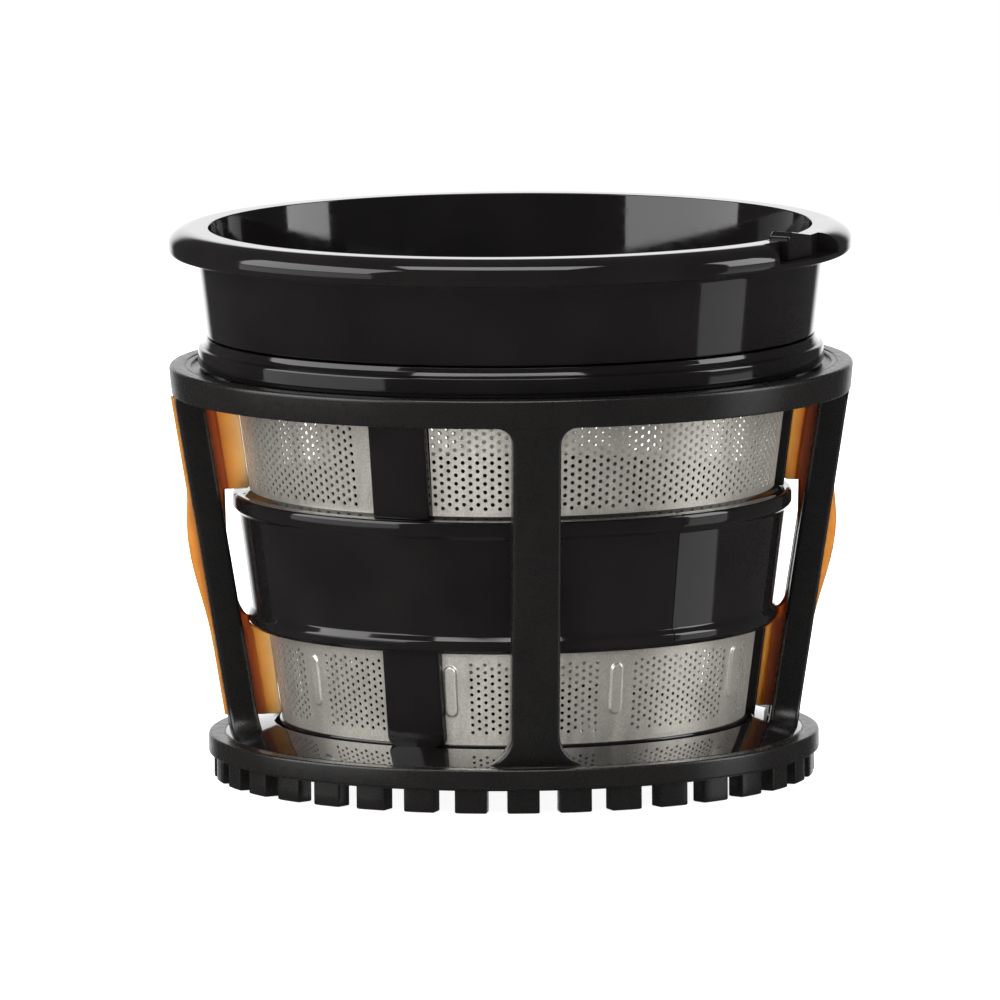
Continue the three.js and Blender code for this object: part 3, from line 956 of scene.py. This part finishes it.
def beadLift(angle, z):
    # height of the pressed bead nearest to this place
    nearest = beads["first"] + beads["spacing"] * round((angle - beads["first"]) / beads["spacing"])
    across = math.radians(angle - nearest) * screenRadius(z)
    low, high = beads["lowZ"] + beads["halfWidth"], beads["highZ"] - beads["halfWidth"]
    along = z - min(max(z, low), high)
    away = math.hypot(across, along) - (beads["halfWidth"] - beads["edge"])
    return beads["height"] * (1 - ease(away / beads["edge"]))


def lowerColumns(low, high):
    # strips with a pressed bead and columns of holes from one rib to the next
    step, spacing = lowerHoles["step"], beads["spacing"]
    strip = beads["clear"] - step / 2
    columns = []
    firstBead = math.floor((low - beads["first"]) / spacing)
    for group in range(firstBead, firstBead + 5):
        middle = beads["first"] + spacing * group
        edges = [mix(middle - strip, middle + strip, k / beads["steps"]) for k in range(beads["steps"] + 1)]
        kinds = ["beadStart"] + ["bead"] * (beads["steps"] - 2) + ["beadEnd"]
        columns += zip(edges, edges[1:], kinds)
        for k in range(round(spacing / step) - round(2 * strip / step)):
            at = middle + strip + step * k
            kind = ("even", "odd")[(k + group + 1) % 2]
            punched = clearOfRibs(at + step / 2, lowerHoles)
            columns.append((at, at + step, kind if punched else "plain"))
    return [column for column in columns if low <= column[0] and column[1] <= high]


def makeLowerScreen(name, node, ribAngle):
    sheet = Sheet()
    levels, borders = sheetLevels(lowerHoles, sillZ - 0.6, lowerWindowTopZ + 0.6)
    inset = ribHalf(lowerHoles) - sheetTuck
    columns = lowerColumns(ribAngle + inset, ribAngle + basket["ribSpacing"] - inset)
    fine = beads["finer"]
    fineCount = fine * (len(levels) - 1)
    fineLevels = [mix(levels[0], levels[-1], k / fineCount) for k in range(fineCount + 1)]
    for fromAngle, toAngle, kind in columns:
        if kind == "bead":
            sheet.strip(fromAngle, toAngle, fineLevels, beadLift)
        elif kind in ("beadStart", "beadEnd"):  # coarse levels on the side of the holes
            near, far = (fromAngle, toAngle) if kind == "beadStart" else (toAngle, fromAngle)
            for m in range(len(levels) - 1):
                finer = [(far, z) for z in fineLevels[fine * m:fine * (m + 1) + 1]]
                sheet.face([(near, levels[m])] + finer + [(near, levels[m + 1])], beadLift)
        else:
            perforatedColumn(sheet, fromAngle, toAngle, kind, lowerHoles, levels)
    sides = [fineLevels if column[2] in cut else levels
             for column, cut in ((columns[0], ("bead", "beadEnd")), (columns[-1], ("bead", "beadStart")))]
    closeSheet(sheet, columns, levels, borders, *sides)
    return makePiece(name, node, "strainer", (sheet.points, sheet.faces), steel, 40)


screens = []
for window, ribAngle in zip(("front", "rear_right", "rear_left"), basket["ribAngles"]):
    side = joined(window)
    screens.append(makeUpperScreen("upperScreen" + side, "upper_screen_" + window, ribAngle))
    screens.append(makeLowerScreen("lowerScreen" + side, "lower_screen_" + window, ribAngle))
lightScreens(screens)
print("screens punched")

# Floor of the strainer, with the hub, the pulp outlet and the press fins

inside = {
    "outletInner": 20,
    "outletOuter": 30,
    "outletHalf": 30,
    "outletWall": 1.2,
    "finWidth": 2.4,
    "finDepth": 3.0,
    "finTaper": 0.5,  # share of the depth left at the top
    "hubWall": 2.5,
}


def cutOutlet(piece, low, high):
    # the opening that the pulp leaves by
    half = inside["outletHalf"]
    cutAway(piece, sectorBlock(180 - half, 180 + half, inside["outletInner"], inside["outletOuter"],
                               low - 2, high + 2))


def makeFloor():
    inner, outer = reachOf("hub_sleeve") - 0.2, screenFootRadius - basket["frameDepth"] + 0.2
    low, high = footOf("strainer_floor"), topOf("strainer_floor")
    outline = filleted([(inner, low, 0), (outer, low, 0), (outer, high, 0), (inner, high, 0)])
    piece = makePiece("strainerFloor", "strainer_floor", "strainer", turned(outline, 192), gloss)
    cutOutlet(piece, low, high)


def makeOutlet():
    low, high = footOf("pulp_outlet"), topOf("pulp_outlet") + 0.4
    half, wall = inside["outletHalf"], inside["outletWall"]
    spread = math.degrees(wall / inside["outletInner"])
    outer = sectorBlock(180 - half - spread, 180 + half + spread, inside["outletInner"] - wall,
                        inside["outletOuter"] + wall, low, high)
    piece = makePiece("pulpOutlet", "pulp_outlet", "strainer", outer, gloss)
    cutOutlet(piece, low, high)


def makeHub():
    outer = reachOf("hub_sleeve")
    bore = outer - inside["hubWall"]
    low, high = footOf("hub_sleeve"), topOf("hub_sleeve")
    outline = filleted([(bore, low, 0.3), (outer, low, 0.4), (outer, high, 0.8), (bore, high, 0.5)])
    makePiece("hubSleeve", "hub_sleeve", "strainer", turned(outline, 128), gloss)


def makeFin(name, node, angle):
    low, high = footOf(node), topOf(node)
    loops = []
    for k in range(25):
        z = mix(low, high, k / 24)
        back = screenRadius(z) - basket["frameDepth"]
        depth = inside["finDepth"]
        if z > bandTopZ:
            depth *= remap(z, bandTopZ, high, 1, inside["finTaper"])
        loops.append(sectionLoop(inside["finWidth"] / 2, back - depth, back + 0.2, 0.7, z, angle, 3))
    makePiece(name, node, "strainer", lofted(loops), gloss)


makeFloor()
makeOutlet()
makeHub()
for ribName, ribAngle in zip(ribNames, basket["ribAngles"]):
    makeFin("pressFin" + joined(ribName), "press_fin_" + ribName, ribAngle)
print("floor, hub, outlet and fins made")

# Cage: top ring, bottom ring with the drive teeth, four posts

rings = {
    "shelfRadius": reachOf("cage_top_ring") - 6.76,
    "recessRadius": 55.3,
    "lipRadius": 56.3,
    "recessDepth": 0.6,
    "landWidth": 2.8,
    "bore": 41.2,
}


def makeTopRing():
    outer, low, high = reachOf("cage_top_ring"), skirtZ, topOf("cage_top_ring")
    shelf, recess, lip = rings["shelfRadius"], rings["recessRadius"], rings["lipRadius"]
    outline = filleted([
        (shelf, low, 0.25),
        (postOuter(low) + 0.12, low, 0.4),
        (outer, high, 0.7),
        (lip + 0.15, high, 0.12),
        (lip, high - 0.22, 0.05),
        (lip - 0.2, high - 0.08, 0.1),
        (recess, high - 0.1, 0.35),
        (recess - 0.05, high - rings["recessDepth"], 0.1),
        (shelf, high - rings["recessDepth"], 0.2),
    ])
    makePiece("cageTopRing", "cage_top_ring", "brush_cage", turned(outline, 320), satin)


def makeBottomRing():
    outer, low = reachOf("cage_bottom_ring"), footOf("cage_bottom_ring")
    high, land = topOf("cage_bottom_ring"), reachOf("cage_bottom_ring") - rings["landWidth"]
    bore = rings["bore"]
    outline = filleted([
        (bore, low, 0.3),
        (outer, low, 0.3),
        (outer, landZ, 0.5),
        (land + 0.15, landZ, 0.12),
        (land, landZ - 0.15, 0.05),
        (land - 0.2, landZ + 0.03, 0.05),
        (bore + 0.45, high, 0.3),
        (bore, high - 0.45, 0.3),
    ])
    piece = makePiece("cageBottomRing", "cage_bottom_ring", "brush_cage", turned(outline, 320), satin)
    piece.data.materials.append(gloss)
    for face in piece.data.polygons:
        middle = face.center / mm
        if math.hypot(middle.x, middle.y) < land - 0.15 and face.normal.z > 0.5:
            face.material_index = 1  # the cone inside the posts is polished


teeth = {
    "count": 36,
    "first": 1.7,  # degrees
    "gap": 3.3,
    "depth": 3.0,
    "height": 3.9,
    "edge": 0.22,
}


def makeGear():
    outer = reachOf("drive_gear")
    inner = outer - teeth["depth"]
    low, back, top = 0, teeth["height"], topOf("drive_gear")
    outline = filleted([(inner, back, 0), (outer, back, 0), (outer, top, 0), (inner, top, 0)])
    points, faces = turned(outline, 288)
    half = math.pi * (outer + inner) / 2 / teeth["count"] - teeth["gap"] / 2
    edge = teeth["edge"]
    for i in range(teeth["count"]):
        angle = teeth["first"] + 360 * i / teeth["count"]
        loops = []
        for z, shrink in ((low, edge), (low + 0.07, 0.07), (low + 0.22, 0), (2, 0), (back + 0.4, 0)):
            loops.append(sectionLoop(half - shrink, inner + shrink, outer - shrink, edge, z, angle, 4))
        tooth, toothFaces = lofted(loops)
        start = len(points)
        points = points + tooth
        faces = faces + [tuple(start + k for k in face) for face in toothFaces]
    makePiece("driveGear", "drive_gear", "brush_cage", (points, faces), satin)


posts = {
    "footFillet": 5.6,
    "topFillet": 3.0,
    "corner": 0.75,
    "cove": 1.8,  # hollow under the top ring, on the inner face
    "slot": 2.5,
    "slotSill": 1.6,
    "slotHead": 0.1,
    "cutFrom": 30,  # radii that the slot's cutter spans
    "cutTo": 70,
}


def makePost(name, node, angle, slotted):
    half, foot, top = cage["postWidth"] / 2, posts["footFillet"], posts["topFillet"]
    rows = [(landZ - 0.05, half + foot)]
    for k in range(15):
        turn = math.radians(90 * k / 14)
        rows.append((landZ + foot * (1 - math.cos(turn)), half + foot * (1 - math.sin(turn))))
    rows += [(mix(landZ + foot, skirtZ - top, k / 12), half) for k in range(1, 13)]
    for k in range(1, 11):
        turn = math.radians(90 * k / 10)
        rows.append((skirtZ - top + top * math.sin(turn), half + top * (1 - math.cos(turn))))
    rows.append((skirtZ + 0.3, half + top))
    loops = []
    for z, w in rows:
        near = posts["cove"] - min(max(skirtZ - z, 0), posts["cove"])
        cove = posts["cove"] - math.sqrt(posts["cove"] ** 2 - near ** 2)
        loops.append(sectionLoop(w, postInner(z) - cove, postOuter(z), posts["corner"], z, angle))
    piece = makePiece(name, node, "brush_cage", lofted(loops), satin)
    if slotted:
        cutAway(piece, straightBlock(angle, posts["slot"], posts["cutFrom"], posts["cutTo"],
                                     landZ + posts["slotSill"], skirtZ - posts["slotHead"]))


makeTopRing()
makeBottomRing()
makeGear()
for i, side in enumerate(("front", "right", "rear", "left")):
    makePost("cagePost" + side.title(), "cage_post_" + side, cage["firstPost"] + 90 * i, i % 2 == 1)
print("cage made")

# Wipers: soft blades through the slots of the side posts

blade = {
    "thin": 1.2,
    "thick": 2.1,
    "rootWidth": 1.7,  # of the thick part that shows inside the post
    "proud": {"right": 0.1, "left": 0.45},  # how far the strip outside the post stands out
    "bulge": 1.75,
    "bulgeFrom": 16,  # above the land of the bottom ring
    "bulgeTo": 42,
    "gap": 0.08,
    "lowZ": 10.9,
    "footRound": 0.5,
    "headRound": 2,
    "sweep": 2.8,  # height over which the blade swings out to the post, above the lower bead
    "rootLow": 9,  # how far under the band's top the blade starts back towards the screen
    "lightAndShadeSpan": 2.4,  # reach of the painted light and shade, as a share of the way from screen to post
}


def bladeRows(bearsOn, proud):
    lowZ, highZ = blade["lowZ"], skirtZ - 0.3
    footRound, headRound = blade["footRound"], blade["headRound"]
    bulgeLow, bulgeHigh = landZ + blade["bulgeFrom"], landZ + blade["bulgeTo"]

    def outer(z):
        along = min(max((z - bulgeLow) / (bulgeHigh - bulgeLow), 0), 1)
        return postOuter(z) + proud + (blade["bulge"] - proud) * math.sin(math.pi * along ** 1.4) ** 1.2

    def bearing(z):
        return screenRadius(z) + bearsOn + blade["gap"]

    beadHeight = band["lowerBeadHeight"]
    beadTop = footOf("mid_band") + beadHeight
    beadMiddle = beadTop - beadHeight / 2
    beadClear = screenRadius(beadMiddle) + band["wallProud"] + band["lowerBeadProud"] - 0.1
    shoulder, rootLow, upperLow = beadTop + blade["sweep"], bandTopZ - blade["rootLow"], bandTopZ + 0.1
    rows = []
    for k in range(5):  # rounded foot
        turn = math.radians(90 * k / 4)
        rows.append((lowZ + footRound * (1 - math.cos(turn)),
                     bearing(lowZ) + footRound * (1 - math.sin(turn))))
    # along the lower screen
    rows += [(z, bearing(z)) for z in (14, 18, 22, lowerWindowTopZ - 0.3)]
    # out past the band's lower bead to the post
    rows += [(lowerWindowTopZ - 0.12, beadClear - 1.2), (lowerWindowTopZ + 0.3, beadClear - 0.6),
             (lowerWindowTopZ + 0.9, beadClear)]
    rows += [(mix(beadTop - 1.2, shoulder, (k / 8) ** 2), mix(beadClear, postInner(shoulder), k / 8))
             for k in range(9)]
    # beside the band, where only the thick root shows
    rows += [(z, postInner(z)) for z in (34, 36, 38, rootLow)]
    rows += [(mix(rootLow, upperLow, k / 5), mix(postInner(rootLow), postInner(upperLow) - 1.2, k / 5))
             for k in range(1, 6)]
    rows += [(upperLow + 0.02, postInner(upperLow) - 1.6), (upperLow + 0.05, bearing(upperLow) + 0.4),
             (upperLow + 0.4, bearing(upperLow))]
    # along the upper screen
    rows += [(z, bearing(z)) for z in (54, 57, 60, highZ - headRound)]
    for k in range(1, 6):  # rounded head
        turn = math.radians(90 * k / 5)
        rows.append((highZ - headRound + headRound * math.sin(turn),
                     bearing(highZ) + headRound * (1 - math.cos(turn))))
    return [(z, inner, outer(z)) for z, inner in rows]


def bladeLoop(z, inner, outer, angle):
    thin, thick = blade["thin"] / 2, blade["thick"] / 2
    root = postInner(z) - blade["rootWidth"]
    tip = min(thin, 0.45)
    # half-thickness along the radius, from the bearing edge to the outer edge
    if inner < root - 0.6:
        line = [(inner, 0.12), (inner + 0.12, tip * 0.75), (inner + 0.4, thin), (root - 0.25, thin),
                (root, mix(thin, thick, 0.5)), (root + 0.25, thick)]
    else:
        line = [(inner, 0.12), (inner + 0.1, thick * 0.5), (inner + 0.25, thick * 0.8),
                (inner + 0.45, thick * 0.95), (inner + 0.6, thick), (inner + 0.8, thick)]
    line += [(mix(line[-1][0], outer - 0.6, 0.5), thick), (outer - 0.6, thick), (outer - 0.2, thick * 0.75),
             (outer, thick * 0.3)]
    side = [(w, r) for r, w in line]
    loop = side + [(-w, r) for w, r in reversed(side)]
    return [polar(r, z, angle, w) for w, r in loop]


def makeWiper(name, node, angle, bearsOn, proud):
    loops = [bladeLoop(z, inner, outer, angle) for z, inner, outer in bladeRows(bearsOn, proud)]
    piece = makePiece(name, node, "brush_cage", lofted(loops), silicone, 50)
    # how far each point lies from screen to post, which places the blade's painted light and painted shade
    depth = piece.data.attributes.new("depth", "FLOAT", "POINT")
    for point in piece.data.vertices:
        place = point.co / mm
        near, far = screenRadius(place.z), postInner(place.z)
        along = (math.hypot(place.x, place.y) - near) / (far - near)
        depth.data[point.index].value = along / blade["lightAndShadeSpan"]


makeWiper("wiperRight", "wiper_right", cage["firstPost"] + 90, basket["ribProud"], blade["proud"]["right"])
makeWiper("wiperLeft", "wiper_left", cage["firstPost"] + 270, 0, blade["proud"]["left"])
print("wipers made")
